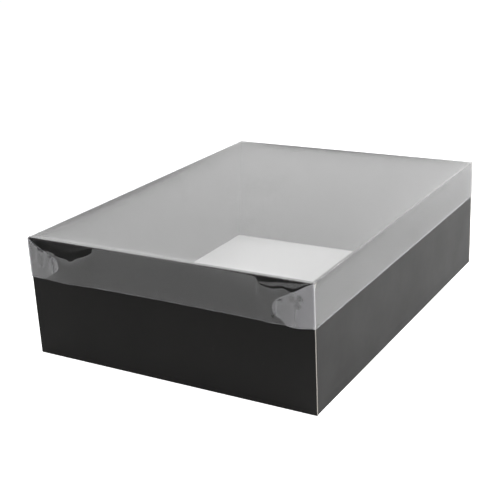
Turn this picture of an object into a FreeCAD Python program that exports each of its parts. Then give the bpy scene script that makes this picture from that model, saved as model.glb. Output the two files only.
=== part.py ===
"""Shoe box: a black board tray with a white floor, and a clear film lid that lifts off.

Millimetres, +Z up. The origin is the centre of the tray's underside, so the box stands on z = 0.
+X runs along the short front face, from left to right, and +Y runs to the back.
Every panel between two creases is a solid of its own, and panels of one sheet meet face to face.
"""

import FreeCAD, Part
import math
import os

# Lid, folded from one sheet of clear film
LID_WIDTH = 251.0  # outside, along X
LID_LENGTH = 334.0  # outside, along Y
LID_TOP = 100.0  # outer face of the lid, above the underside of the tray
SKIRT_HEIGHT = 33.5
FILM = 0.3

# Corner tabs of the lid. "along" is measured from the corner and "below" from the top of the lid.
TAB_ROOT_BELOW = 0.9
TAB_TOP_EDGE_END = (27.2, 14.2)  # along, below
TONGUE_ROOT_ALONG = 28.6
TONGUE_TIP_ALONG = 33.2
TONGUE_TOP_BELOW = 15.6
TONGUE_BOTTOM_BELOW = 27.9
TONGUE_PROUD = 3.6  # how far the tongue's tip springs out from the skirt
SHOULDER_START = (27.3, 28.3)
SHOULDER_MIDDLE = (24.2, 30.0)
SHOULDER_END = (21.5, 34.0)
TAB_LOWEST = (13.0, 34.6)  # the tab's lower edge bows a little below the skirt
ROOT_END_BELOW = 33.4
TAB_REACH_BELOW = 2.0  # the film strip that the tab is cut from goes this far below the skirt
SLIT_ALONG = (28.3, 30.9)
SLIT_PLAY = 0.4  # the slit is this much longer than the tongue at each end

# Running clearances between the lid and the tray
SIDE_GAP = 0.45
END_GAP = 0.4
TOP_GAP = 0.2

# Tray, folded from one sheet of thin fluted board
BOARD = 1.4
CREASE_RADIUS = 1.0
CUT_EDGE_GAP = 0.1  # between an end panel and the side wall that it covers
END_LEAN = 14.6  # the foot of an inner end panel stands this far inside its top
INNER_END_PLAY = 0.1  # between an inner end panel and each inner side wall
FLAP_LENGTH = 80.0
FLAP_TAPER = 6.0  # how far the free end of a corner flap is cut back, top and bottom
FOOT_WIDTH = 30.0
FOOT_CENTRE = 62.0  # distance of each locking foot from the middle plane
FOOT_LIFT = 0.1  # the feet end this far above the underside
SLOT_PLAY = 0.4

TRAY_WIDTH = LID_WIDTH - 2 * (FILM + SIDE_GAP)
TRAY_LENGTH = LID_LENGTH - 2 * (2 * FILM + END_GAP)
TRAY_HEIGHT = LID_TOP - FILM - TOP_GAP
HALF_WIDTH = TRAY_WIDTH / 2
HALF_LENGTH = TRAY_LENGTH / 2
WALL_TOP = TRAY_HEIGHT - BOARD  # underside of the rim strips
SIDE_WALL_END = HALF_LENGTH - BOARD - CUT_EDGE_GAP
FLAP_INNER = SIDE_WALL_END - BOARD
END_RIM_INNER = FLAP_INNER - BOARD
SIDE_INNER_FACE = HALF_WIDTH - 2 * BOARD
FOOT_INNER = END_RIM_INNER - END_LEAN

X_AXIS = FreeCAD.Vector(1, 0, 0)
Y_AXIS = FreeCAD.Vector(0, 1, 0)
Z_AXIS = FreeCAD.Vector(0, 0, 1)
ORIGIN = FreeCAD.Vector(0, 0, 0)


def box(x_range, y_range, z_range):
    """Solid box between two values on each axis."""
    size = [high - low for low, high in (x_range, y_range, z_range)]
    return Part.makeBox(*size, FreeCAD.Vector(x_range[0], y_range[0], z_range[0]))


def prism(edges, sweep):
    """Solid swept straight from a flat closed outline."""
    return Part.Face(Part.Wire(edges)).extrude(sweep)


def outline(points):
    """Closed loop of straight edges through the points."""
    return list(Part.makePolygon(points + points[:1]).Edges)


def round_edges(solid, radius, is_wanted):
    """Fillets the straight edges whose middle point passes the test."""
    chosen = []
    for edge in solid.Edges:
        middle = edge.valueAt((edge.FirstParameter + edge.LastParameter) / 2)
        if is_wanted(middle):
            chosen.append(edge)
    return solid.makeFillet(radius, chosen)


def flip_x(solid):
    return solid.mirror(ORIGIN, X_AXIS)


def flip_y(solid):
    return solid.mirror(ORIGIN, Y_AXIS)


def near(value, target):
    return abs(value - target) < 1e-3


# ---- Lid -------------------------------------------------------------------------------------


def lid_top_panel():
    half_x = LID_WIDTH / 2
    half_y = LID_LENGTH / 2
    panel = box((-half_x, half_x), (-half_y, half_y), (LID_TOP - FILM, LID_TOP))
    return round_edges(panel, FILM / 2, lambda p: near(p.z, LID_TOP))


def lid_side_skirt():
    """Right skirt. Its two ends are the creases of the corner tabs."""
    half_x = LID_WIDTH / 2
    half_y = LID_LENGTH / 2 - FILM
    return box((half_x - FILM, half_x), (-half_y, half_y), (LID_TOP - SKIRT_HEIGHT, LID_TOP - FILM))


def lid_end_skirt():
    """Front skirt, which covers two corner tabs and has a slit for the tongue of each."""
    half_x = LID_WIDTH / 2
    front = -LID_LENGTH / 2
    skirt = box((-half_x, half_x), (front, front + FILM), (LID_TOP - SKIRT_HEIGHT, LID_TOP - FILM))
    slit_x = [half_x - along for along in reversed(SLIT_ALONG)]
    slit_z = (LID_TOP - TONGUE_BOTTOM_BELOW - SLIT_PLAY, LID_TOP - TONGUE_TOP_BELOW + SLIT_PLAY)
    slit = box(slit_x, (front - FILM, front + 2 * FILM), slit_z)
    return skirt.cut(slit).cut(flip_x(slit))


def tab_front_outline(depth):
    """Outline of the front right tab, seen from the front, on the plane y = depth."""

    def at(along, below):
        return FreeCAD.Vector(LID_WIDTH / 2 - along, depth, LID_TOP - below)

    root_top = at(FILM, TAB_ROOT_BELOW)
    taper_end = at(*TAB_TOP_EDGE_END)
    notch = at(TAB_TOP_EDGE_END[0], TONGUE_TOP_BELOW)
    tongue_top = at(TONGUE_ROOT_ALONG, TONGUE_TOP_BELOW)
    tongue_tip = at(TONGUE_TIP_ALONG, (TONGUE_TOP_BELOW + TONGUE_BOTTOM_BELOW) / 2)
    tongue_bottom = at(TONGUE_ROOT_ALONG, TONGUE_BOTTOM_BELOW)
    shoulder_start = at(*SHOULDER_START)
    shoulder_end = at(*SHOULDER_END)
    root_bottom = at(FILM, ROOT_END_BELOW)
    return [
        Part.LineSegment(root_top, taper_end).toShape(),
        Part.LineSegment(taper_end, notch).toShape(),
        Part.LineSegment(notch, tongue_top).toShape(),
        Part.Arc(tongue_top, tongue_tip, tongue_bottom).toShape(),
        Part.LineSegment(tongue_bottom, shoulder_start).toShape(),
        Part.Arc(shoulder_start, at(*SHOULDER_MIDDLE), shoulder_end).toShape(),
        Part.Arc(shoulder_end, at(*TAB_LOWEST), root_bottom).toShape(),
        Part.LineSegment(root_bottom, root_top).toShape(),
    ]


def lid_corner_tab():
    """Front right tab: flat behind the front skirt, then out through the slit as a tongue."""
    skirt_outer = -LID_LENGTH / 2
    flat_outer = skirt_outer + FILM
    flat_inner = flat_outer + FILM
    tip_outer = skirt_outer - TONGUE_PROUD
    corner = LID_WIDTH / 2
    root_x = corner - FILM
    bend_x = corner - TONGUE_ROOT_ALONG
    tip_x = corner - TONGUE_TIP_ALONG - FILM
    slope = math.atan2(flat_outer - tip_outer, bend_x - tip_x)
    thickness_in_y = FILM / math.cos(slope)
    bend_shift = FILM * math.tan(slope / 2)
    bottom = LID_TOP - SKIRT_HEIGHT - TAB_REACH_BELOW
    strip_points = [
        FreeCAD.Vector(root_x, flat_outer, bottom),
        FreeCAD.Vector(bend_x, flat_outer, bottom),
        FreeCAD.Vector(tip_x, tip_outer, bottom),
        FreeCAD.Vector(tip_x, tip_outer + thickness_in_y, bottom),
        FreeCAD.Vector(bend_x - bend_shift, flat_inner, bottom),
        FreeCAD.Vector(root_x, flat_inner, bottom),
    ]
    strip = prism(outline(strip_points), Z_AXIS * (LID_TOP - bottom))
    start = tip_outer - FILM
    silhouette = prism(tab_front_outline(start), Y_AXIS * (flat_inner + FILM - start))
    return strip.common(silhouette).Solids[0]


# ---- Tray ------------------------------------------------------------------------------------


def tray_bottom_panel():
    """Floor of the tray, with two slots near each end for the locking feet."""
    half_x = HALF_WIDTH - BOARD
    half_y = HALF_LENGTH - BOARD
    floor = box((-half_x, half_x), (-half_y, half_y), (0, BOARD))
    half_slot = FOOT_WIDTH / 2 + SLOT_PLAY
    slot_y = (FOOT_INNER - 2 * SLOT_PLAY, FOOT_INNER + BOARD + SLOT_PLAY)
    for centre in (-FOOT_CENTRE, FOOT_CENTRE):
        slot = box((centre - half_slot, centre + half_slot), slot_y, (-BOARD, 2 * BOARD))
        floor = floor.cut(slot).cut(flip_y(slot))
    return floor


def tray_side_outer_wall():
    """Right outer wall. Its ends fold into the corner flaps."""
    wall = box((HALF_WIDTH - BOARD, HALF_WIDTH), (-SIDE_WALL_END, SIDE_WALL_END), (0, WALL_TOP))

    def is_outer_crease(p):
        on_outside = near(p.x, HALF_WIDTH)
        return on_outside and (near(p.z, 0) or near(abs(p.y), SIDE_WALL_END))

    return round_edges(wall, CREASE_RADIUS, is_outer_crease)


def tray_side_rim():
    """Right rim strip, where the side wall rolls over to the inside."""
    strip = box((SIDE_INNER_FACE, HALF_WIDTH), (-END_RIM_INNER, END_RIM_INNER), (WALL_TOP, TRAY_HEIGHT))

    def is_long_top_edge(p):
        return near(p.z, TRAY_HEIGHT) and near(p.y, 0)

    return round_edges(strip, CREASE_RADIUS, is_long_top_edge)


def tray_side_inner_wall():
    return box((SIDE_INNER_FACE, HALF_WIDTH - BOARD), (-FLAP_INNER, FLAP_INNER), (BOARD, WALL_TOP))


def tray_corner_flap():
    """Front right flap: the end of the right wall, folded flat behind the front panel."""
    root_x = HALF_WIDTH - BOARD
    free_x = root_x - FLAP_LENGTH
    points = [
        FreeCAD.Vector(root_x, -SIDE_WALL_END, BOARD),
        FreeCAD.Vector(root_x, -SIDE_WALL_END, WALL_TOP),
        FreeCAD.Vector(free_x, -SIDE_WALL_END, WALL_TOP - FLAP_TAPER),
        FreeCAD.Vector(free_x, -SIDE_WALL_END, BOARD + FLAP_TAPER),
    ]
    return prism(outline(points), Y_AXIS * BOARD)


def tray_end_outer_panel():
    """Front outer panel, the full width of the tray, so that its cut edges show at the corners."""
    panel = box((-HALF_WIDTH, HALF_WIDTH), (-HALF_LENGTH, -HALF_LENGTH + BOARD), (0, WALL_TOP))
    return round_edges(panel, CREASE_RADIUS, lambda p: near(p.y, -HALF_LENGTH) and near(p.z, 0))


def tray_end_rim():
    """Front rim strip, over the outer panel, the corner flaps and the top of the inner panel."""
    strip = box((-HALF_WIDTH, HALF_WIDTH), (-HALF_LENGTH, -END_RIM_INNER), (WALL_TOP, TRAY_HEIGHT))

    def is_long_top_edge(p):
        return near(p.z, TRAY_HEIGHT) and near(p.x, 0)

    return round_edges(strip, CREASE_RADIUS, is_long_top_edge)


def leaning_board(x_range, z_range):
    """A width of the front inner end panel, between two heights on its slope."""

    def inner_face_y(z):
        return -FOOT_INNER - END_LEAN * (z - BOARD) / (WALL_TOP - BOARD)

    low, high = z_range
    points = [
        FreeCAD.Vector(x_range[0], inner_face_y(low), low),
        FreeCAD.Vector(x_range[0], inner_face_y(high), high),
        FreeCAD.Vector(x_range[0], inner_face_y(high) - BOARD, high),
        FreeCAD.Vector(x_range[0], inner_face_y(low) - BOARD, low),
    ]
    return prism(outline(points), X_AXIS * (x_range[1] - x_range[0]))


def tray_end_inner_panel():
    """Front inner panel, which leans in to its foot, with two feet that lock in the floor."""
    half_x = SIDE_INNER_FACE - INNER_END_PLAY
    panel = leaning_board((-half_x, half_x), (BOARD, WALL_TOP))
    for centre in (-FOOT_CENTRE, FOOT_CENTRE):
        foot_x = (centre - FOOT_WIDTH / 2, centre + FOOT_WIDTH / 2)
        panel = panel.fuse(leaning_board(foot_x, (FOOT_LIFT, BOARD)))
    return panel.removeSplitter()


# ---- Assembly --------------------------------------------------------------------------------


def left_and_right(name, right_solid):
    return {f"{name}_right": right_solid, f"{name}_left": flip_x(right_solid)}


def front_and_back(name, front_solid):
    return {f"{name}_front": front_solid, f"{name}_back": flip_y(front_solid)}


def four_corners(name, front_right_solid):
    nodes = {}
    for side, solid in left_and_right("", front_right_solid).items():
        nodes[f"{name}_front{side}"] = solid
        nodes[f"{name}_back{side}"] = flip_y(solid)
    return nodes


def all_nodes():
    return {
        "lid_top_panel": lid_top_panel(),
        **left_and_right("lid_skirt", lid_side_skirt()),
        **front_and_back("lid_skirt", lid_end_skirt()),
        **four_corners("lid_tab", lid_corner_tab()),
        "tray_bottom_panel": tray_bottom_panel(),
        **left_and_right("tray_outer_wall", tray_side_outer_wall()),
        **left_and_right("tray_rim", tray_side_rim()),
        **left_and_right("tray_inner_wall", tray_side_inner_wall()),
        **front_and_back("tray_outer_panel", tray_end_outer_panel()),
        **front_and_back("tray_rim", tray_end_rim()),
        **front_and_back("tray_inner_panel", tray_end_inner_panel()),
        **four_corners("tray_flap", tray_corner_flap()),
    }


def main():
    os.makedirs("parts", exist_ok=True)
    for name, shape in all_nodes().items():
        solid = shape.Solids[0]
        if len(shape.Solids) != 1 or not solid.isValid() or solid.Volume <= 0:
            raise ValueError(f"{name} is not one valid solid")
        solid.exportStep(f"parts/{name}.step")
        print(f"{name}: {solid.Volume / 1000:.2f} cm3")


main()
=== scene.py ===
"""Shoe box with a clear film lid: the looks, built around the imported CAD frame.

Row frame: +X along the short front face, +Y to the back, +Z up. Shapes are worked out in millimetres
and turned into metres when each mesh is made. The lid is one folded sheet of clear film. The tray is
thin fluted board, black on its face and white on its back: each side and each end is a folded strip that
rolls over at the rim, and the floor and the corner flaps are the frame's own nodes.
"""

import math

import bpy
from mathutils import Matrix, Vector, noise


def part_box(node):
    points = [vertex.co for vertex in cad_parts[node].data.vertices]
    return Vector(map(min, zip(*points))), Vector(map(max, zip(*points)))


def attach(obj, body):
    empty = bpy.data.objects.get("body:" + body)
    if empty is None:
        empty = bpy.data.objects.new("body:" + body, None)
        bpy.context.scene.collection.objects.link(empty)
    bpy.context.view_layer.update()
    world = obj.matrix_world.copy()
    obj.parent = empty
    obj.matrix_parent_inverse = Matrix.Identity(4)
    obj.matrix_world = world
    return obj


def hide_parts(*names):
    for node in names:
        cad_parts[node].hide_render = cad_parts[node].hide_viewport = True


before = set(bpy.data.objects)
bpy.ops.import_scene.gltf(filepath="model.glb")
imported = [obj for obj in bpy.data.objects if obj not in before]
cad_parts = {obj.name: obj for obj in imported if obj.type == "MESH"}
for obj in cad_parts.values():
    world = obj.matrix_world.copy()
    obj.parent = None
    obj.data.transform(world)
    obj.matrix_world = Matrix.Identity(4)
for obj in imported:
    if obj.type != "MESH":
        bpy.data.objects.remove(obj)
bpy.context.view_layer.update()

MM = 0.001


def in_mm(node):
    """Lowest and highest corner of a node's box, in millimetres."""
    low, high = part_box(node)
    return low / MM, high / MM


# ---- Sizes read from the frame ---------------------------------------------------------------

lid_low, lid_high = in_mm("lid_top_panel")
skirt_low, _ = in_mm("lid_skirt_front")
side_skirt_low, _ = in_mm("lid_skirt_right")
end_low, end_high = in_mm("tray_outer_panel_front")
_, side_high = in_mm("tray_outer_wall_right")
inner_side_low, inner_side_high = in_mm("tray_inner_wall_right")
_, inner_end_high = in_mm("tray_inner_panel_front")
_, rim_high = in_mm("tray_rim_front")
_, floor_high = in_mm("tray_bottom_panel")

LID_X = lid_high.x
LID_Y = lid_high.y
LID_TOP = lid_high.z
FILM = lid_high.z - lid_low.z
SKIRT = LID_TOP - skirt_low.z
TAB_PLANE = -side_skirt_low.y  # outer face of the corner tabs, behind the front and back skirts

TRAY_X = end_high.x
TRAY_Y = -end_low.y
TRAY_TOP = rim_high.z
BOARD = end_high.y - end_low.y
WALL_TOP = end_high.z  # underside of the rims
FLOOR_TOP = floor_high.z
SIDE_WALL_END = side_high.y  # half the length of a side wall
SIDE_INNER_FACE = inner_side_low.x
INNER_WALL_END = inner_side_high.y  # half the length of a side's inner wall
INNER_END_X = inner_end_high.x  # half the width of an end's inner panel
INNER_END_FOOT = -inner_end_high.y  # where an end's inner panel meets the floor
END_RIM_INNER = -rim_high.y


# ---- Curves and stations ---------------------------------------------------------------------


def smooth_step(x, start, end):
    t = min(max((x - start) / (end - start), 0.0), 1.0)
    return t * t * (3 - 2 * t)


def curve_through(*points):
    """Smooth function of one number through the points, level beyond the first and the last."""
    xs = [p[0] for p in points]
    ys = [p[1] for p in points]
    rises = [(ys[i + 1] - ys[i]) / (xs[i + 1] - xs[i]) for i in range(len(xs) - 1)]
    slopes = [0.0]
    for before, after in zip(rises, rises[1:]):
        slopes.append(0.0 if before * after <= 0 else 2 * before * after / (before + after))
    slopes.append(0.0)

    def value(x):
        if x <= xs[0]:
            return ys[0]
        if x >= xs[-1]:
            return ys[-1]
        i = max(k for k in range(len(xs) - 1) if xs[k] <= x)
        width = xs[i + 1] - xs[i]
        t = (x - xs[i]) / width
        return (
            ys[i] * (1 + 2 * t) * (1 - t) ** 2
            + ys[i + 1] * t * t * (3 - 2 * t)
            + width * slopes[i] * t * (1 - t) ** 2
            - width * slopes[i + 1] * t * t * (1 - t)
        )

    return value


def steps(start, end, size):
    """Values from start to end, evenly spaced by about size."""
    count = max(1, round(abs(end - start) / size))
    return [start + (end - start) * i / count for i in range(count + 1)]


def merged(values, apart=0.12):
    """Sorted values, without those that are nearly the same as the one before."""
    kept = []
    for value in sorted(values):
        if not kept or value - kept[-1] > apart:
            kept.append(value)
    return kept


def ripple(x, y, size, seed):
    """Smooth noise between about -1 and 1 that changes over about size."""
    return noise.noise(Vector((x / size, y / size, seed)))


# ---- Meshes ----------------------------------------------------------------------------------

OUTER, INNER, CUT = range(3)


class Sheet:
    """Points and faces in millimetres. Points in the same place are one point.

    A point's mark says how rubbed the board is or how milky the film is; on the film it also carries a
    painted highlight along the cut edges and a painted dark star on one tab. Its depth is 0 on the outer
    face and 1 on the inner one.
    A face's kind is OUTER, INNER or CUT.
    """

    def __init__(self):
        self.points = []
        self.marks = []
        self.depths = []
        self.faces = []
        self.kinds = []
        self.found = {}

    def point(self, place, mark=0.0, depth=0.0):
        key = tuple(round(c, 4) for c in place)
        if key not in self.found:
            self.found[key] = len(self.points)
            self.points.append(Vector(place))
            self.marks.append(mark)
            self.depths.append(depth)
        return self.found[key]

    def face(self, corners, kind=OUTER):
        loop = [c for c, before in zip(corners, corners[-1:] + corners[:-1]) if c != before]
        if len(loop) > 2 and len(set(loop)) == len(loop):
            self.faces.append(tuple(loop))
            self.kinds.append(kind)

    def grid(self, us, vs, place, outward, mark):
        """A patch over two lists of stations. outward says which way its outer face looks."""
        rows = [[self.point(place(u, v), mark(u, v)) for u in us] for v in vs]
        middle = (len(us) // 2, len(vs) // 2)
        a, b, c = (self.points[rows[middle[1] - j][middle[0] - i]] for i, j in ((1, 1), (0, 1), (0, 0)))
        turned = (b - a).cross(c - b).dot(Vector(outward)) < 0
        for low, high in zip(rows, rows[1:]):
            for i in range(len(us) - 1):
                loop = [low[i], low[i + 1], high[i + 1], high[i]]
                self.face(loop[::-1] if turned else loop)

    def thicken(self, thickness):
        """Closes an open sheet by adding its inner face and its cut edges."""
        mesh = bpy.data.meshes.new("open_sheet")
        mesh.from_pydata([tuple(p) for p in self.points], [], self.faces)
        mesh.update()
        normals = [v.normal.copy() for v in mesh.vertices]
        bpy.data.meshes.remove(mesh)
        count = len(self.points)
        outer = list(self.faces)
        edges = {(a, b) for loop in outer for a, b in zip(loop, loop[1:] + loop[:1])}
        self.points += [p - n * thickness for p, n in zip(self.points, normals)]
        self.marks += self.marks
        self.depths += [1.0] * count
        for loop in outer:
            self.face([i + count for i in reversed(loop)], INNER)
        for a, b in sorted(edges):
            if (b, a) not in edges:
                self.face([b, a, a + count, b + count], CUT)

    def piece(self, name, materials):
        """The mesh object. materials are for the outer face, the inner face and the cut edges."""
        mesh = bpy.data.meshes.new(name)
        mesh.from_pydata([tuple(p * MM) for p in self.points], [], self.faces)
        for one in materials:
            mesh.materials.append(one)
        last = len(materials) - 1
        mesh.polygons.foreach_set("material_index", [min(kind, last) for kind in self.kinds])
        mesh.polygons.foreach_set("use_smooth", [kind != CUT for kind in self.kinds])
        kinds_at = {}
        for loop, kind in zip(self.faces, self.kinds):
            for a, b in zip(loop, loop[1:] + loop[:1]):
                kinds_at.setdefault((min(a, b), max(a, b)), set()).add(kind)
        mesh.update(calc_edges=True)
        sharp = [len(kinds_at.get(tuple(sorted(edge.vertices)), ())) > 1 for edge in mesh.edges]
        mesh.attributes.new("sharp_edge", "BOOLEAN", "EDGE").data.foreach_set("value", sharp)
        mesh.attributes.new("mark", "FLOAT", "POINT").data.foreach_set("value", self.marks)
        mesh.attributes.new("depth", "FLOAT", "POINT").data.foreach_set("value", self.depths)
        mesh.validate()
        piece = bpy.data.objects.new(name, mesh)
        bpy.context.scene.collection.objects.link(piece)
        return piece


# ---- Materials -------------------------------------------------------------------------------


def new_material(name):
    made = bpy.data.materials.new(name)
    made.use_nodes = True
    made.node_tree.nodes.clear()
    return made, made.node_tree


def add(tree, kind, inputs=None, **settings):
    """A new node. An input is a value, or the socket that feeds it."""
    node = tree.nodes.new(kind)
    for key, value in settings.items():
        setattr(node, key, value)
    for key, value in (inputs or {}).items():
        if isinstance(value, bpy.types.NodeSocket):
            tree.links.new(value, node.inputs[key])
        else:
            node.inputs[key].default_value = value
    return node


def calculate(tree, operation, *values):
    node = add(tree, "ShaderNodeMath", dict(enumerate(values)), operation=operation)
    return node.outputs[0]


def spread(tree, value, low, high, to_low, to_high):
    """value from low..high taken to to_low..to_high, and held there outside."""
    inputs = {"Value": value, "From Min": low, "From Max": high, "To Min": to_low, "To Max": to_high}
    return add(tree, "ShaderNodeMapRange", inputs).outputs["Result"]


def grain(tree, place, scale, detail=2.0, roughness=0.5):
    inputs = {"Vector": place, "Scale": scale, "Detail": detail, "Roughness": roughness}
    return add(tree, "ShaderNodeTexNoise", inputs).outputs[0]


def blend_colors(tree, factor, first, second):
    """Mix of two colours. The numbers are the colour sockets of the Mix node."""
    return add(tree, "ShaderNodeMix", {0: factor, 6: first, 7: second}, data_type="RGBA").outputs[2]


def finish_material(tree, shader):
    add(tree, "ShaderNodeOutputMaterial", {"Surface": shader})


def place_in(tree):
    return add(tree, "ShaderNodeTexCoord").outputs["Object"]


def axes_of(tree, vector):
    return add(tree, "ShaderNodeSeparateXYZ", {"Vector": vector}).outputs


def attribute(tree, name):
    return add(tree, "ShaderNodeAttribute", attribute_name=name).outputs["Fac"]


FILM_INDEX = 1.575
FILM_MILK = (0.83, 0.82, 0.85, 1)
WHITE_LIGHT = (0.675, 0.675, 0.665, 1)
WHITE_DARK = (0.63, 0.63, 0.62, 1)
PAPER_LIGHT = (0.52, 0.49, 0.45, 1)
PAPER_DARK = (0.42, 0.39, 0.35, 1)
FLUTE_LENGTH = 2.4 * MM


def make_clear_film():
    """Thin clear sheet: it mirrors by Fresnel on both faces and lets the rest straight through."""
    made, tree = new_material("clear_film")
    place = place_in(tree)
    back = add(tree, "ShaderNodeNewGeometry").outputs["Backfacing"]
    outward = calculate(tree, "MULTIPLY_ADD", back, -2.0, 1.0)
    index = calculate(tree, "POWER", FILM_INDEX, outward)
    mirror_share = add(tree, "ShaderNodeFresnel", {"IOR": index}).outputs[0]
    clear = add(tree, "ShaderNodeBsdfTransparent", {"Color": (0.978, 0.978, 0.98, 1)}).outputs[0]
    smears = grain(tree, place, 38.0, 3.0)
    gloss_roughness = spread(tree, smears, 0.35, 0.7, 0.02, 0.05)
    gloss_inputs = {"Color": (1, 1, 1, 1), "Roughness": gloss_roughness}
    mirror = add(tree, "ShaderNodeBsdfAnisotropic", gloss_inputs).outputs[0]
    skin = add(tree, "ShaderNodeMixShader", {0: mirror_share, 1: clear, 2: mirror}).outputs[0]
    milky = add(tree, "ShaderNodeBsdfDiffuse", {"Color": FILM_MILK}).outputs[0]
    glowing = add(tree, "ShaderNodeBsdfTranslucent", {"Color": FILM_MILK}).outputs[0]
    milk = add(tree, "ShaderNodeMixShader", {0: 0.5, 1: milky, 2: glowing}).outputs[0]
    specks = spread(tree, grain(tree, place, 900.0, 1.0), 0.74, 0.8, 0.0, 0.05)
    # Milk from crease and pinch whitening, plus a painted highlight along the cut edges; where it falls to
    # nothing on the crisp tab it paints a dark star.
    milk_and_painted_light = spread(tree, attribute(tree, "mark"), 0.0, 1.0, 0.004, 0.55)
    haze = calculate(tree, "ADD", milk_and_painted_light, specks)
    surface = add(tree, "ShaderNodeMixShader", {0: haze, 1: skin, 2: milk}).outputs[0]
    finish_material(tree, surface)
    return made


def make_film_edge():
    """Sheared edge of the film: it catches light and hides what is behind it."""
    made, tree = new_material("film_edge")
    nicks = spread(tree, grain(tree, place_in(tree), 420.0, 2.0), 0.35, 0.7, 0.2, 0.5)
    clear = add(tree, "ShaderNodeBsdfTransparent", {"Color": (0.95, 0.95, 0.96, 1)}).outputs[0]
    dull = add(tree, "ShaderNodeBsdfDiffuse", {"Color": (0.58, 0.59, 0.61, 1)}).outputs[0]
    finish_material(tree, add(tree, "ShaderNodeMixShader", {0: nicks, 1: clear, 2: dull}).outputs[0])
    return made


def make_black_print():
    """Black laminated face of the board, semi-gloss, a little uneven over the flutes."""
    made, tree = new_material("black_board")
    place = place_in(tree)
    cloud = grain(tree, place, 9.0, 3.0)
    tone = blend_colors(tree, cloud, (0.0068, 0.0064, 0.0060, 1), (0.0095, 0.0090, 0.0084, 1))
    scuffs = spread(tree, grain(tree, place, 160.0, 4.0, 0.65), 0.66, 0.86, 0.0, 0.35)
    tone = blend_colors(tree, scuffs, tone, (0.045, 0.043, 0.041, 1))
    crease = attribute(tree, "mark")
    crumbs = spread(tree, grain(tree, place, 520.0, 3.0), 0.42, 0.72, 0.0, 1.0)
    wear = calculate(tree, "MULTIPLY", crease, crumbs)
    tone = blend_colors(tree, calculate(tree, "MULTIPLY", wear, 0.55), tone, (0.16, 0.15, 0.14, 1))
    roughness = spread(tree, grain(tree, place, 26.0, 3.0), 0.3, 0.7, 0.42, 0.5)
    peel = grain(tree, place, 750.0, 2.0)
    wash = grain(tree, place, 60.0, 2.0)
    soft = add(tree, "ShaderNodeBump", {"Height": wash, "Strength": 0.12, "Distance": 0.0006})
    fine_inputs = {"Height": peel, "Strength": 0.25, "Distance": 0.00006, "Normal": soft.outputs[0]}
    fine = add(tree, "ShaderNodeBump", fine_inputs)
    inputs = {"Base Color": tone, "Roughness": roughness, "Normal": fine.outputs[0], "IOR": 1.28}
    finish_material(tree, add(tree, "ShaderNodeBsdfPrincipled", inputs).outputs[0])
    return made


def paper_color(tree, place, light, dark):
    fibres = grain(tree, place, 1400.0, 3.0, 0.7)
    clouds = grain(tree, place, 24.0, 3.0)
    tone = blend_colors(tree, spread(tree, fibres, 0.35, 0.7, 0.0, 0.6), light, dark)
    return blend_colors(tree, spread(tree, clouds, 0.4, 0.75, 0.0, 0.5), tone, dark)


def make_white_liner():
    """Uncoated white face of the board."""
    made, tree = new_material("white_board")
    place = place_in(tree)
    tone = paper_color(tree, place, WHITE_LIGHT, WHITE_DARK)
    fibres = grain(tree, place, 1100.0, 3.0, 0.7)
    bump = add(tree, "ShaderNodeBump", {"Height": fibres, "Strength": 0.3, "Distance": 0.00008})
    inputs = {"Base Color": tone, "Roughness": 0.7, "Normal": bump.outputs[0]}
    finish_material(tree, add(tree, "ShaderNodeBsdfPrincipled", inputs).outputs[0])
    return made


def make_cut_edge():
    """Cut edge of the board: two liners with the wavy layer between them."""
    made, tree = new_material("board_edge")
    place = place_in(tree)
    depth = attribute(tree, "depth")
    parts = axes_of(tree, place)
    along = calculate(tree, "ADD", calculate(tree, "ADD", parts[0], parts[1]), parts[2])
    turn = calculate(tree, "MULTIPLY", along, 2 * math.pi / FLUTE_LENGTH)
    wave = calculate(tree, "MULTIPLY_ADD", calculate(tree, "SINE", turn), 0.3, 0.5)
    off_wave = calculate(tree, "ABSOLUTE", calculate(tree, "SUBTRACT", depth, wave))
    off_middle = calculate(tree, "ABSOLUTE", calculate(tree, "SUBTRACT", depth, 0.5))
    flute = spread(tree, off_wave, 0.09, 0.17, 1.0, 0.0)
    liner = spread(tree, off_middle, 0.34, 0.4, 0.0, 1.0)
    solid = calculate(tree, "MAXIMUM", flute, liner)
    tone = paper_color(tree, place, PAPER_LIGHT, PAPER_DARK)
    tone = blend_colors(tree, solid, (0.09, 0.08, 0.07, 1), tone)
    print_share = spread(tree, depth, 0.04, 0.1, 1.0, 0.0)
    tone = blend_colors(tree, print_share, tone, (0.02, 0.019, 0.018, 1))
    bump = add(tree, "ShaderNodeBump", {"Height": solid, "Strength": 0.7, "Distance": 0.0002})
    inputs = {"Base Color": tone, "Roughness": 0.8, "Normal": bump.outputs[0]}
    finish_material(tree, add(tree, "ShaderNodeBsdfPrincipled", inputs).outputs[0])
    return made


def make_two_faced():
    """The tray's bottom panel: white above, black print beneath, plain paper on its cut edges."""
    made, tree = new_material("bottom_board")
    place = place_in(tree)
    up = axes_of(tree, add(tree, "ShaderNodeNewGeometry").outputs["Normal"])[2]
    white = paper_color(tree, place, WHITE_LIGHT, WHITE_DARK)
    cloud = grain(tree, place, 9.0, 3.0)
    black = blend_colors(tree, cloud, (0.0105, 0.0098, 0.0095, 1), (0.0145, 0.0138, 0.013, 1))
    paper = paper_color(tree, place, PAPER_LIGHT, PAPER_DARK)
    top_share = spread(tree, up, 0.4, 0.6, 0.0, 1.0)
    low_share = spread(tree, up, -0.4, -0.6, 0.0, 1.0)
    tone = blend_colors(tree, top_share, paper, white)
    tone = blend_colors(tree, low_share, tone, black)
    roughness = spread(tree, low_share, 0.0, 1.0, 0.7, 0.32)
    fibres = grain(tree, place, 1100.0, 3.0, 0.7)
    bump = add(tree, "ShaderNodeBump", {"Height": fibres, "Strength": 0.3, "Distance": 0.00008})
    inputs = {"Base Color": tone, "Roughness": roughness, "Normal": bump.outputs[0]}
    finish_material(tree, add(tree, "ShaderNodeBsdfPrincipled", inputs).outputs[0])
    return made


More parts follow.
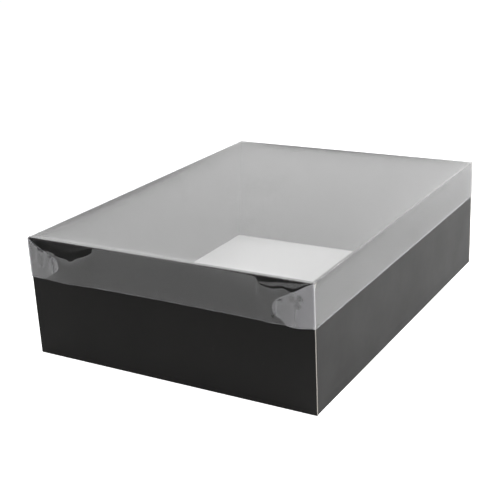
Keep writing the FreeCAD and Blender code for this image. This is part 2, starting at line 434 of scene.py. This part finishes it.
clear_film = make_clear_film()
film_edge = make_film_edge()
black_print = make_black_print()
white_liner = make_white_liner()
cut_edge = make_cut_edge()
bottom_board = make_two_faced()


# ---- Lid -------------------------------------------------------------------------------------

FOLD = 0.34  # outer radius of the film's creases at the short ends and the corners
SIDE_FOLD = 0.6  # outer radius of the film's creases along the sides
SKIRT_SHORT = 1.2  # the front and back skirts stop this far from the corners
BEHIND = FILM + 0.06  # a tab's outer face is this far behind the skirt's
LIP = 0.36  # how far each lip of a slit stands open
ARC = [math.radians(a) for a in (0, 15, 30, 45, 60, 75, 90)]  # stations round a crease
SAG = 3.2  # how far the middle of the lid's top hangs down
SLOW_FALL = 60.0  # length over which the slow part of the sag comes
CREASE_HALF = math.pi / 4  # the middle of a crease, as an angle
CORNER_SPAN = 68  # the bends of a corner of the lid reach this far along the skirt
NEAR_CUT = 0.3  # no other station is this near to a cut
TINY = 1e-6  # slack for comparing stations


class Corner:
    """How the film bends at one end of a front or back skirt.

    along is the distance from the corner, and below the distance below the top.
    """

    def __init__(self, loose, slack, flat_from, push, reach, lean, tab_top, tab_low, slit):
        self.loose = loose
        self.flat_from = flat_from  # where along the skirt the bulge starts to die away lower down
        self.slack = slack  # share of the bulge that this corner has
        self.push = curve_through(*push)  # how far the upper bulge stands out
        self.reach = curve_through(*reach)  # how far below the crease the upper bulge is full
        self.lean = curve_through(*lean)  # how far the lower edge stands out besides
        self.tab_top = curve_through(*tab_top)  # the tab's upper edge, below the top
        self.tab_low = curve_through(*tab_low)  # the tab's lower edge, below the top
        self.tab_tip = tab_top[-1][0]  # how far along the tab ends
        self.slit, self.slit_top, self.slit_low = slit  # along, and its two ends below the top

    def bulge(self, along, below):
        """How far the skirt's outer face stands out from its plane."""
        t = min(max(below, 0.0) / self.reach(along), 1.0)
        spring = 0.07 * (1 - math.exp(-below / 1.3)) * smooth_step(along, 0, 12)
        upper = self.slack * self.push(along) * (1 - (1 - t) ** 2)
        upper *= 1 - 0.8 * smooth_step(below, 7, 23) * smooth_step(along, *self.flat_from)
        return spring + self.lean(along) * below / SKIRT + upper

    def lip(self, along, below, side):
        """How far a lip of the slit is bent: out where side is 1, in where it is -1."""
        inside = smooth_step(below, self.slit_top, self.slit_top + 1.6)
        inside *= smooth_step(-below, -self.slit_low, -self.slit_low + 1.6)
        return side * LIP * inside * math.exp(-abs(along - self.slit) / 4)

    def tab_out(self, along, below):
        """How far the tab's outer face stands out from the plane of the skirt's."""
        edge = self.bulge(along, self.tab_top(along))
        low = min(edge, self.bulge(along, self.tab_low(along)))
        flat = low - BEHIND  # behind the skirt, the tab lies flat
        here = self.bulge(along, below)
        near_slit = smooth_step(along, self.slit - 6, self.slit)
        behind = flat + (here + self.lip(along, below, 1) - BEHIND - flat) * near_slit
        spring = 0.23 * max(along - self.slit - 1, 0) ** 2 / 8
        before = here + self.lip(along, below, -1) + BEHIND + spring
        return behind + (before - behind) * smooth_step(along, self.slit - 0.7, self.slit + 0.7)


# The two kinds of corner. The lists hold points (along, value), in millimetres.
CRISP = dict(
    flat_from=(32, 43),
    push=(
        *((0, 0), (5.3, 0.33), (10, 0.87), (13.8, 1.2), (16.7, 1.35), (20.7, 1.3), (24.7, 1.25)),
        *((32, 1.58), (36.5, 1.62), (40.5, 1.7), (43.4, 0.9), (46, 0)),
    ),
    reach=(
        *((0, 2), (5.3, 2.6), (10, 5.8), (13.8, 9), (16.7, 10), (20.7, 8.6), (24.7, 7.4)),
        *((32, 8.3), (36.5, 7.2), (40.5, 6.6), (43.4, 4.2), (47, 2.6)),
    ),
    lean=(
        *((0, 0), (8, 0.7), (12, 1.1), (26, 1.2), (31, 1.5), (38, 1.7)),
        *((46, 1.7), (54, 1.5), (70, 1.2), (94, 0.8), (125, 0.3)),
    ),
    tab_top=(
        *((0.9, 0.9), (2.5, 1.5), (15, 8.0), (26.4, 14.0), (28.0, 15.0)),
        *((29.3, 16.0), (30.2, 17.2), (30.8, 18.8), (31.1, 21.0)),
    ),
    tab_low=(
        *((0.9, 33.4), (6, 34.0), (13, 34.6), (18.5, 34.4), (21.5, 33.5), (24.4, 30.4)),
        *((26.4, 28.6), (28.2, 27.6), (29.6, 26.4), (30.6, 24.9), (31.1, 23.2)),
    ),
    slit=(28.2, 14.2, 28.6),
)

LOOSE = dict(
    flat_from=(56, 64),
    push=(
        *((0, 0), (3, 0.5), (8, 1.15), (16, 1.8), (23, 2.3), (30, 2.45), (40, 2.5)),
        *((46, 2.05), (52, 1.45), (57, 1.0), (61.5, 0.55), (64, 0.25), (66.5, 0)),
    ),
    reach=(
        *((0, 6), (6, 12), (14, 19), (23, 24), (30, 24.5), (40, 26)),
        *((46, 23), (52, 18), (57, 14), (61.5, 10), (64, 8), (68, 6)),
    ),
    lean=(
        *((0, 0), (12, -0.6), (20, -0.9), (28, -0.4), (36, -0.1)),
        *((46, 0.2), (60, 0.7), (68, 0.8), (90, 0.5), (125, 0.3)),
    ),
    tab_top=(
        *((0.9, 0.9), (2, 2.0), (12.0, 7.2), (21.0, 11.6), (25.6, 13.2)),
        *((28.4, 13.4), (30.4, 14.4), (31.6, 16.0), (32.2, 17.8)),
    ),
    tab_low=(
        *((0.9, 33.4), (6, 33.4), (12, 33.2), (15, 32.6), (17.8, 31.2)),
        *((23, 28.2), (26.4, 26.2), (29.4, 24.0), (31.4, 21.8), (32.2, 19.8)),
    ),
    slit=(25.2, 12.4, 27.4),
)

front_right_corner = Corner(loose=False, slack=1.0, **CRISP)
front_left_corner = Corner(loose=True, slack=1.0, **LOOSE)
back_left_corner = Corner(loose=False, slack=0.45, **CRISP)
back_right_corner = Corner(loose=True, slack=0.55, **LOOSE)


def corner_of(x, y):
    """The corner of the lid nearest to a place."""
    if y < 0:
        return front_left_corner if x < 0 else front_right_corner
    return back_left_corner if x < 0 else back_right_corner


def fall(inside, quick_share, quick_length):
    """How much of the sag is reached at this distance inside the rim: partly at once, the rest slowly."""
    inside = max(inside, 0.0)
    quick = quick_share * (1 - math.exp(-inside / quick_length))
    return quick + (1 - quick_share) * (1 - math.exp(-inside / SLOW_FALL))


def top_place(x, y):
    """A point of the lid's top, which sags from its rim and ripples a little."""
    side = LID_X - abs(x)
    end = LID_Y - abs(y)
    settled = 0.17 * (1 - math.exp(-max(min(side - SIDE_FOLD, end - FOLD), 0) / 1.4))
    across = fall(side - 3.0, 0.95, 12) if x < 0 else fall(side - 3.0, 0.45, 16)
    lengthways = fall(end - 3.6, 0.25, 5) if y < 0 else fall(end - 3.6, 0.42, 10)
    wave = 0.1 * ripple(x, y, 70, 3.1) * smooth_step(min(side, end), 6, 40)
    return Vector((x, y, LID_TOP - settled - SAG * across * lengthways - wave))


def crinkle(along, below, loose):
    """Small dents where the film was pinched."""
    if loose:
        turn = math.atan2(below - 17, along - 13)
        ring = math.hypot(along - 13, (below - 17) * 0.7)
        return 0.16 * math.exp(-(((ring - 4.6) / 1.3) ** 2)) * (0.6 + 0.5 * math.sin(3 * turn))
    away = math.hypot(along - 15, below - 16.5)
    turn = math.atan2(below - 16.5, along - 15)
    return 0.26 * math.exp(-((away / 3.2) ** 2)) * math.cos(3 * turn + 0.9) * math.sin(1.9 * away)


def pinch_mark(along, below, loose):
    """How much milkier the pinched film is than the rest of the tab. Below 0, it is clearer: on the crisp
    tab this paints a dark star, a painted reflection of the crinkle.
    """
    if loose:
        ring = math.hypot(along - 12.5, (below - 17) * 0.65)
        oval = 0.4 * math.exp(-(((ring - 4.4) / 0.9) ** 2)) * (0.55 + 0.45 * ripple(along, below, 3, 1.7))
        loop = math.hypot((along - 26) * 1.1, (below - 18.5) * 0.75)
        tip = 0.4 * math.exp(-(((loop - 3.6) / 0.8) ** 2)) * (0.7 + 0.5 * ripple(along, below, 2, 4.7))
        return oval + tip
    away = math.hypot(along - 13.6, below - 14.8)
    turn = math.atan2(below - 14.8, along - 13.6)
    # Painted dark reflection: these strokes clear the milk in a star so the black board shows through.
    painted_star_shade = abs(math.cos(1.5 * turn + 0.5)) ** 3 * math.exp(-((away / 4.4) ** 4))
    streak = 0.16 * math.exp(-(((along - 13.4) / 0.6) ** 2))
    streak *= smooth_step(below, 18, 21) * smooth_step(-below, -29, -24)
    return streak - 1.6 * painted_star_shade


def end_skirt_place(x, below, angle, front, side):
    """A point of the front or back skirt: on the crease at an angle, or below it where below is given."""
    corner = corner_of(x, front)
    along = LID_X - abs(x)
    if below is None:
        drop = FOLD * (1 - math.cos(angle))
        out = FOLD * math.sin(angle)
    else:
        drop = below
        out = FOLD
    bulge = corner.bulge(along, drop)
    if below is not None:
        bulge += corner.lip(along, below, side) + crinkle(along, below, corner.loose)
        bulge += 0.03 * ripple(x, below * 2, 9, 7.7 + front) * smooth_step(below, 1, 6)
    return Vector((x, front * (LID_Y - FOLD + out + bulge), LID_TOP - drop))


def side_inset(y, below, right):
    """How far the side skirt stands in from the side of the lid."""
    top_slope = 0.5 * (1 - min(below / 8, 1)) ** 2 + 0.05 * math.exp(-below / 1.2)
    waves = 0.03 * (1 + ripple(y, below * 1.5, 45, 5.3 * right))
    if right < 0:
        return top_slope + waves
    edge = 131 + 5 * smooth_step(below, 8, 30)  # past here the right skirt stands straight
    far_end = smooth_step(y, edge - 2, edge + 2)
    return (top_slope + waves) * (1 - far_end) + far_end * (0.02 + 0.3 * smooth_step(y, 131, 175))


def side_skirt_place(y, below, angle, right):
    if below is None:
        drop = SIDE_FOLD * (1 - math.cos(angle))
        x = LID_X - SIDE_FOLD + math.sin(angle) * (SIDE_FOLD - side_inset(y, drop, right))
    else:
        drop = below
        x = LID_X - side_inset(y, below, right)
    return Vector((right * x, y, LID_TOP - drop))


def crease_mark(distance):
    """How milky the film is at this distance from the middle of a crease."""
    return math.exp(-((distance / 0.45) ** 2))


def skirt_mark(x, below, front, rows):
    """How milky the front or back skirt is here. Its lowest row is milkier, a painted highlight along the
    cut edge.
    """
    corner = corner_of(x, front)
    pinched = max(0.6 * pinch_mark(LID_X - abs(x), below, corner.loose), 0.0)
    # The lowest row's 0.25 is a painted highlight along the film's cut edge.
    return 0.25 if below == rows[-1] else 0.03 * crease_mark(below - FOLD) + pinched


def add_end_skirt(sheet, xs, rows, front):
    """Front (front = -1) or back skirt, in three patches that part at the slits."""
    cuts = [-LID_X + corner_of(-1, front).slit, LID_X - corner_of(1, front).slit]
    limits = [-LID_X + SKIRT_SHORT, *cuts, LID_X - SKIRT_SHORT]
    for low, high, side in zip(limits, limits[1:], (1, -1, 1)):
        us = [x for x in xs if low - TINY <= x <= high + TINY]
        sheet.grid(
            us,
            ARC,
            lambda x, angle: end_skirt_place(x, None, angle, front, side),
            (0, front, 1),
            lambda x, angle: 0.03 * crease_mark((angle - CREASE_HALF) * FOLD),
        )
        sheet.grid(
            us,
            rows,
            lambda x, below: end_skirt_place(x, below, 0, front, side),
            (0, front, 0),
            lambda x, below: skirt_mark(x, below, front, rows),
        )


def add_side_skirt(sheet, ys, rows, right):
    us = [y for y in ys if abs(y) <= TAB_PLANE - FOLD + TINY]
    sheet.grid(
        us,
        ARC,
        lambda y, angle: side_skirt_place(y, None, angle, right),
        (right, 0, 0),
        lambda y, angle: 0.05 * crease_mark((angle - CREASE_HALF) * SIDE_FOLD),
    )
    sheet.grid(
        us,
        rows,
        lambda y, below: side_skirt_place(y, below, 0, right),
        (right, 0, 0),
        # The lowest row's 0.5 is a painted highlight along the film's cut edge; elsewhere the milk follows
        # the vertical crease.
        lambda y, below: 0.5 if below == rows[-1] else crease_mark(TAB_PLANE - FOLD / 2 - abs(y)),
    )


def add_tab(sheet, rows, right, front):
    """The corner tab: round the vertical crease, behind the skirt, and out through its slit."""
    corner = corner_of(right, front)
    loose = corner.loose
    root = side_skirt_place(front * (TAB_PLANE - FOLD), rows[0], 0, right)
    share = {below: (below - rows[0]) / (rows[-1] - rows[0]) for below in rows}

    def place(station, row):
        if station <= 0:
            angle = -station
            root_x = abs(side_skirt_place(front * (TAB_PLANE - FOLD), row, 0, right).x)
            x = root_x - FOLD * (1 - math.cos(angle))
            y = TAB_PLANE - FOLD + FOLD * math.sin(angle)
            return Vector((right * x, front * y, LID_TOP - row))
        top = corner.tab_top(station)
        below = top + (corner.tab_low(station) - top) * share[row]
        out = corner.tab_out(station, below) * smooth_step(station, 0.9, 6)
        out += crinkle(station, below, loose) * 0.8
        inset = (LID_X - abs(root.x)) * (1 - smooth_step(station, 0.9, 8))
        y = max(TAB_PLANE + out, TAB_PLANE - 0.05)
        return Vector((right * (LID_X - station - inset), front * y, LID_TOP - below))

    turns = [-angle for angle in ARC]
    tips = [corner.tab_tip - gap for gap in (1.1, 0.7, 0.4, 0.18, 0.0)]
    stations = turns + steps(1.5, corner.tab_tip - 1.6, 0.8) + tips

    def mark(station, row):
        if station <= 0:
            return crease_mark((station + CREASE_HALF) * FOLD)
        top = corner.tab_top(station)
        below = top + (corner.tab_low(station) - top) * share[row]
        milky = 0.1 if loose else 0.68 - 0.34 * smooth_step(station, 4, 24)
        milky = max(milky + pinch_mark(station, below, loose), 0.0)
        # The tab's cut edges get 0.2 more milk: a painted highlight along them.
        on_highlighted_edge = row in (rows[0], rows[-1]) or station == corner.tab_tip
        return milky + 0.2 if on_highlighted_edge else milky

    sheet.grid(stations, rows, place, (right * 0.1, front, 0), mark)


def build_lid():
    slits = [LID_X - corner.slit for corner in (front_right_corner, front_left_corner)]
    edge_x = LID_X - SIDE_FOLD
    half = [0, *steps(4.5, LID_X - CORNER_SPAN, 4.5), *steps(LID_X - CORNER_SPAN, edge_x, 0.8)]
    half = [x for x in half if all(abs(x - s) > NEAR_CUT for s in (*slits, LID_X - SKIRT_SHORT))]
    half = sorted([*half, *slits, LID_X - SKIRT_SHORT])
    xs = merged([*half, *[-x for x in half]], 0.05)
    edge_y = LID_Y - FOLD
    half = [0, *steps(5, LID_Y - 40, 5), *steps(LID_Y - 40, LID_Y - 14, 2)]
    half += [*steps(LID_Y - 14, TAB_PLANE - FOLD, 0.9), edge_y]
    ys = merged([*half, *[-y for y in half]], 0.05)
    rows = steps(SIDE_FOLD, SKIRT, 0.8)
    end_rows = steps(FOLD, SKIRT - 0.5, 0.8)
    sheet = Sheet()

    def top_mark(x, y):
        return crease_mark(min(edge_x - abs(x), edge_y - abs(y))) * 0.03

    sheet.grid(xs, ys, top_place, (0, 0, 1), top_mark)
    for front in (-1, 1):
        add_end_skirt(sheet, xs, end_rows, front)
    for right in (-1, 1):
        add_side_skirt(sheet, ys, rows, right)
        for front in (-1, 1):
            add_tab(sheet, rows, right, front)
    sheet.thicken(FILM)
    lid = sheet.piece("film_lid", [clear_film, clear_film, film_edge])
    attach(lid, "lid")
    names = ["lid_top_panel"]
    names += [f"lid_skirt_{side}" for side in ("front", "back", "left", "right")]
    names += [f"lid_tab_{end}_{side}" for end in ("front", "back") for side in ("left", "right")]
    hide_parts(*names)


# ---- Tray ------------------------------------------------------------------------------------

RIM_ROUND = 1.38  # outer radius where the board rolls over at the rim of a short end
ROUND = 0.8  # outer radius of the board's creases
HAIR = 0.02  # keeps faces that only touch from lying in one plane


def quarter(centre, directions, radius=ROUND, count=6):
    """Points of an arc about centre, from the first direction to the last, in degrees."""
    first, last = directions
    turns = [math.radians(first + (last - first) * i / count) for i in range(count + 1)]
    return [(centre[0] + radius * math.cos(a), centre[1] + radius * math.sin(a)) for a in turns]


def add_strip(sheet, outer, reverse, ends, stations, place, bow):
    """A folded strip of board. outer and reverse are its two faces in section, point for point.

    ends gives how far each point of the section reaches along the strip, and stations run from end to end.
    place turns a point of the section and a station into a place, and bow moves a point of the outer face.
    """
    rows = []
    for k, ((u, z, crease), back_point) in enumerate(zip(outer, reverse)):
        within = [max(-ends[k], min(ends[k], t)) for t in stations]
        front_row = [sheet.point(place(*bow(k, (u, z), t), t), crease, 0.0) for t in within]
        back_row = [sheet.point(place(*back_point, t), 0.0, 1.0) for t in within]
        rows.append((front_row, back_row))
    wall_row = 10  # a row on the plain wall, where the two faces are a board's thickness apart
    a = sheet.points[rows[wall_row][0][1]]
    b = sheet.points[rows[wall_row][0][2]]
    c = sheet.points[rows[wall_row + 1][0][2]]
    reverse_point = sheet.points[rows[wall_row][1][1]]
    sign = -1 if (b - a).cross(c - b).dot(a - reverse_point) < 0 else 1
    for (face_a, back_a), (face_b, back_b) in zip(rows, rows[1:]):
        for i in range(len(stations) - 1):
            sheet.face([face_a[i], face_a[i + 1], face_b[i + 1], face_b[i]][::sign], OUTER)
            sheet.face([back_a[i], back_b[i], back_b[i + 1], back_a[i + 1]][::sign], INNER)
        sheet.face([face_a[0], face_b[0], back_b[0], back_a[0]][::sign], CUT)
        sheet.face([face_a[-1], back_a[-1], back_b[-1], face_b[-1]][::sign], CUT)
    for face_row, back_row, way in ((*rows[0], 1), (*rows[-1], -1)):
        for i in range(len(stations) - 1):
            loop = [face_row[i], back_row[i], back_row[i + 1], face_row[i + 1]]
            sheet.face(loop[:: sign * way], CUT)


def section(runs):
    """Joins runs of outer points, each with its partners on the reverse face and its wear, into two lists.

    The partners are a list as long as the points, or one point for them all.
    """
    outer = []
    reverse = []
    for points, partners, wear in runs:
        for i, point in enumerate(points):
            partner = partners[i] if isinstance(partners, list) else partners
            if outer and outer[-1][:2] == point and reverse[-1] == partner:
                continue
            outer.append((*point, wear * math.sin(math.pi * i / (len(points) - 1))))
            reverse.append(partner)
    return outer, reverse


def straight(start, end, size=12.0):
    """Points about size apart on a straight line."""
    count = max(1, round(math.dist(start, end) / size))
    return [tuple(a + (b - a) * i / count for a, b in zip(start, end)) for i in range(count + 1)]


def build_side(right):
    """Outer wall, rim and inner wall of one long side."""
    x = TRAY_X
    seam = x - BOARD
    inner = SIDE_INNER_FACE
    base = FLOOR_TOP + HAIR
    wall_face = straight((x, ROUND), (x, TRAY_TOP - ROUND))
    wall_back = straight((seam + HAIR, ROUND), (seam + HAIR, WALL_TOP))
    drop_face = straight((inner, TRAY_TOP - ROUND), (inner, base))
    drop_back = straight((seam - HAIR, WALL_TOP), (seam - HAIR, base))
    outer, reverse = section(
        [
            (quarter((x - ROUND, ROUND), (-90, 0)), (seam + HAIR, 0.0), 0.6),
            (wall_face, wall_back, 0.0),
            (quarter((x - ROUND, TRAY_TOP - ROUND), (0, 90)), (seam + HAIR, WALL_TOP), 1.0),
            (quarter((inner + ROUND, TRAY_TOP - ROUND), (90, 180)), (seam - HAIR, WALL_TOP), 1.0),
            (drop_face, drop_back, 0.0),
        ]
    )
    ends = []
    for point in outer:
        if point[0] > seam and point[1] < WALL_TOP:
            ends.append(SIDE_WALL_END)
        elif point[1] < WALL_TOP - 0.5:
            ends.append(INNER_WALL_END)
        else:
            ends.append(END_RIM_INNER - HAIR)
    last = SIDE_WALL_END - ROUND
    half = [0, *steps(10, 150, 10), 155, END_RIM_INNER - HAIR, INNER_WALL_END]
    half += [last + ROUND * math.sin(a) for a in ARC]
    stations = merged([*half, *[-t for t in half]], 0.03)

    def bow(k, point, t):
        across, up = point
        if outer[k][0] <= seam:
            return across, up
        turn = min(max((abs(t) - last) / ROUND, 0.0), 1.0)
        if up < WALL_TOP:
            across -= ROUND * (1 - math.sqrt(1 - turn * turn))
        slack = smooth_step(up, 0, 20) * smooth_step(-up, -WALL_TOP, -70)
        slack *= smooth_step(-abs(t), -160, -130)
        return across - 0.12 * slack * (1 + ripple(t, up, 60, 2.2 * right)), up

    sheet = Sheet()
    add_strip(sheet, outer, reverse, ends, stations, lambda u, z, t: Vector((right * u, t, z)), bow)
    name = "right" if right > 0 else "left"
    piece = sheet.piece(f"board_side_{name}", [black_print, white_liner, cut_edge])
    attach(piece, "tray")
    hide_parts(f"tray_outer_wall_{name}", f"tray_rim_{name}", f"tray_inner_wall_{name}")


def build_end(front):
    """Outer panel, rim and leaning inner panel of one short end."""
    y = TRAY_Y
    seam = y - BOARD
    rim_inner = END_RIM_INNER
    wall_face = straight((y, ROUND), (y, TRAY_TOP - RIM_ROUND))
    wall_back = straight((seam, ROUND), (seam, WALL_TOP))
    top_back = rim_inner + BOARD
    drop_face = straight((rim_inner, TRAY_TOP - RIM_ROUND), (INNER_END_FOOT, FLOOR_TOP))
    drop_back = straight((top_back, WALL_TOP), (INNER_END_FOOT + BOARD, FLOOR_TOP))
    rim_centre = TRAY_TOP - RIM_ROUND
    rim_out = quarter((y - RIM_ROUND, rim_centre), (0, 90), RIM_ROUND)
    rim_in = quarter((rim_inner + RIM_ROUND, rim_centre), (90, 180), RIM_ROUND)
    outer, reverse = section(
        [
            (quarter((y - ROUND, ROUND), (-90, 0)), (seam, 0.0), 0.6),
            (wall_face, wall_back, 0.0),
            (rim_out, (seam, WALL_TOP), 1.0),
            (rim_in, (top_back, WALL_TOP), 1.0),
            (drop_face, drop_back, 0.0),
        ]
    )
    drop_start = len(outer) - len(drop_face)
    ends = [INNER_END_X if k > drop_start else TRAY_X for k in range(len(outer))]
    half = [0, *steps(10, 110, 10), 115, INNER_END_X, TRAY_X]
    stations = merged([*half, *[-t for t in half]], 0.03)

    def bow(k, point, t):
        across, up = point
        if k >= drop_start:
            return across, up
        slack = smooth_step(up, 0, 20) * smooth_step(-up, -WALL_TOP, -70)
        slack *= smooth_step(-abs(t), -122, -90)
        return across - 0.1 * slack * (1 + ripple(t, up, 60, 9.2 * front)), up

    sheet = Sheet()
    add_strip(sheet, outer, reverse, ends, stations, lambda u, z, t: Vector((t, front * u, z)), bow)
    name = "front" if front < 0 else "back"
    piece = sheet.piece(f"board_end_{name}", [black_print, white_liner, cut_edge])
    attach(piece, "tray")
    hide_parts(f"tray_outer_panel_{name}", f"tray_rim_{name}", f"tray_inner_panel_{name}")


build_lid()
for way in (-1, 1):
    build_side(way)
    build_end(way)

for name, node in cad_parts.items():
    for one in node.material_slots:
        if name.startswith("tray_flap"):
            one.material = black_print
        if name == "tray_bottom_panel":
            one.material = bottom_board


# ---- Floor, light and camera -----------------------------------------------------------------

FLOOR_FRONT = -0.50  # the floor ends here, and the film mirrors a dark gap beyond it
FLOOR_REACH = 5  # half the floor's width
FLOOR_BACK = 8
FLOOR_TOP_Z = -0.2 * MM

AZIMUTH, ELEVATION, ROLL = (math.radians(a) for a in (30.75, 19.77, -2.77))
CAMERA_TARGET = Vector((-17.25, -7.85, 50.6)) * MM
CAMERA_DISTANCE = 0.876
FOCAL_LENGTH = 72.04


def build_floor():
    """Pale floor, white to the camera, with painted shade and painted light in its colour that the film and
    the board mirror.
    """
    made, tree = new_material("pale_floor")
    place = place_in(tree)
    tone = blend_colors(tree, grain(tree, place, 3.0, 2.0), (0.80, 0.80, 0.80, 1), (0.82, 0.82, 0.82, 1))
    across, depth, _ = axes_of(tree, place)
    # Painted shade and light in the floor's colour: darker 0.25 to 0.4 m in front of the box, brighter
    # nearer it and further out.
    near = spread(tree, depth, -0.25, -0.18, 0.76, 1.15)
    far = spread(tree, depth, -0.49, -0.40, 1.18, 0.76)
    front_shade = calculate(tree, "MAXIMUM", near, far)
    # Painted shade beside the right side of the box, deepening towards the back.
    right_shade = spread(tree, depth, 0.0, 0.22, 0.86, 0.68)
    from_box = spread(tree, across, 0.13, 0.20, 0.0, 1.0)
    beside = calculate(tree, "MULTIPLY", from_box, spread(tree, across, 0.5, 0.8, 1.0, 0.0))
    painted_side_shade = calculate(tree, "MULTIPLY", beside, calculate(tree, "SUBTRACT", 1.0, right_shade))
    shade = calculate(tree, "MULTIPLY", front_shade, calculate(tree, "SUBTRACT", 1.0, painted_side_shade))
    tone = add(tree, "ShaderNodeVectorMath", {0: tone, "Scale": shade}, operation="SCALE").outputs[0]
    matt = add(tree, "ShaderNodeBsdfDiffuse", {"Color": tone}).outputs[0]
    seen = add(tree, "ShaderNodeLightPath").outputs["Is Camera Ray"]
    glow_strength = calculate(tree, "MULTIPLY", seen, 0.8)
    glow = add(tree, "ShaderNodeEmission", {"Color": (1, 1, 1, 1), "Strength": glow_strength})
    both = add(tree, "ShaderNodeAddShader", {0: matt, 1: glow.outputs[0]}).outputs[0]
    finish_material(tree, both)
    mesh = bpy.data.meshes.new("floor")
    near_corners = [(side * FLOOR_REACH, FLOOR_FRONT, FLOOR_TOP_Z) for side in (-1, 1)]
    far_corners = [(side * FLOOR_REACH, FLOOR_BACK, FLOOR_TOP_Z) for side in (1, -1)]
    mesh.from_pydata(near_corners + far_corners, [], [(0, 1, 2, 3)])
    mesh.materials.append(made)
    floor = bpy.data.objects.new("floor", mesh)
    bpy.context.scene.collection.objects.link(floor)


def build_world():
    """Bright behind and to the sides, and dark on the camera's side but for a low bright band.

    The camera itself sees plain white.
    """
    world = bpy.data.worlds.new("studio")
    bpy.context.scene.world = world
    world.use_nodes = True
    tree = world.node_tree
    tree.nodes.clear()
    way = add(tree, "ShaderNodeTexCoord").outputs["Generated"]
    east, north, up = axes_of(tree, way)
    behind = spread(tree, north, -0.30, 0.05, 0.0, 1.0)
    high = spread(tree, up, 0.40, 0.55, 1.0, 0.55)
    sideways = calculate(tree, "MULTIPLY_ADD", spread(tree, east, -1.0, 0.1, -0.5, 0.6), 0.6, 1.0)
    backdrop = calculate(tree, "MULTIPLY", calculate(tree, "MULTIPLY", high, sideways), behind)
    bright = calculate(tree, "MULTIPLY_ADD", backdrop, 1.13, 0.02)
    above_edge = spread(tree, up, -0.13, -0.10, 0.0, 1.0)
    below_dark = spread(tree, up, 0.06, 0.11, 1.0, 0.0)
    ahead = spread(tree, east, -0.62, -0.50, 0.08, 0.88)
    in_front = spread(tree, north, -0.35, -0.6, 0.0, 1.0)
    band = calculate(tree, "MULTIPLY", calculate(tree, "MULTIPLY", above_edge, below_dark), ahead)
    strength = calculate(tree, "MULTIPLY_ADD", band, in_front, bright)
    rays = add(tree, "ShaderNodeLightPath").outputs
    soft = calculate(tree, "MULTIPLY_ADD", rays["Is Diffuse Ray"], -0.68, 1.0)
    strength = calculate(tree, "MULTIPLY", strength, soft)
    strength = calculate(tree, "MAXIMUM", strength, rays["Is Camera Ray"])
    background = add(tree, "ShaderNodeBackground", {"Color": (1, 1, 1, 1), "Strength": strength})
    add(tree, "ShaderNodeOutputWorld", {"Surface": background.outputs[0]})


def build_light(name, place, target, size, power, glossy):
    lamp = bpy.data.lights.new(name, "AREA")
    lamp.shape = "RECTANGLE"
    lamp.size, lamp.size_y = size
    lamp.energy = power
    holder = bpy.data.objects.new(name, lamp)
    bpy.context.scene.collection.objects.link(holder)
    holder.visible_glossy = glossy
    holder.visible_camera = False
    holder.location = place
    holder.rotation_mode = "QUATERNION"
    holder.rotation_quaternion = (Vector(target) - Vector(place)).to_track_quat("-Z", "Y")


def build_camera():
    level = math.cos(ELEVATION)
    back = Vector((math.sin(AZIMUTH) * level, -math.cos(AZIMUTH) * level, math.sin(ELEVATION)))
    right = Vector((math.cos(AZIMUTH), math.sin(AZIMUTH), 0.0))
    up = back.cross(right)
    rolled_right = right * math.cos(ROLL) + up * math.sin(ROLL)
    rolled_up = up * math.cos(ROLL) - right * math.sin(ROLL)
    lens = bpy.data.cameras.new("camera")
    lens.sensor_width = 36.0
    lens.lens = FOCAL_LENGTH
    lens.clip_start, lens.clip_end = 0.05, 50.0
    camera = bpy.data.objects.new("camera", lens)
    bpy.context.scene.collection.objects.link(camera)
    turn = Matrix((rolled_right, rolled_up, back)).transposed()
    camera.matrix_world = Matrix.Translation(CAMERA_TARGET + back * CAMERA_DISTANCE) @ turn.to_4x4()
    bpy.context.scene.camera = camera


build_floor()
build_world()
build_light("side_softbox", (0.95, 0.05, 0.9), (0.25, 0.05, 0), (0.8, 0.8), 12.5, glossy=True)
build_light("overhead", (0.0, 0.3, 1.5), (0, 0, 0), (1.0, 0.8), 4.5, glossy=False)
build_light("back_softbox", (0.45, 1.0, 0.55), (0.32, 0.75, 0), (0.6, 0.5), 7.2, glossy=False)
build_light("low_side", (1.5, 1.75, 0.16), (0.125, 0.25, 0.06), (0.5, 0.22), 30, glossy=True)
build_light("front_fill", (-0.25, -1.0, 1.2), (0, -0.1, 0), (1.0, 0.6), 12, glossy=False)
build_camera()
bpy.context.scene.view_settings.view_transform = "Standard"
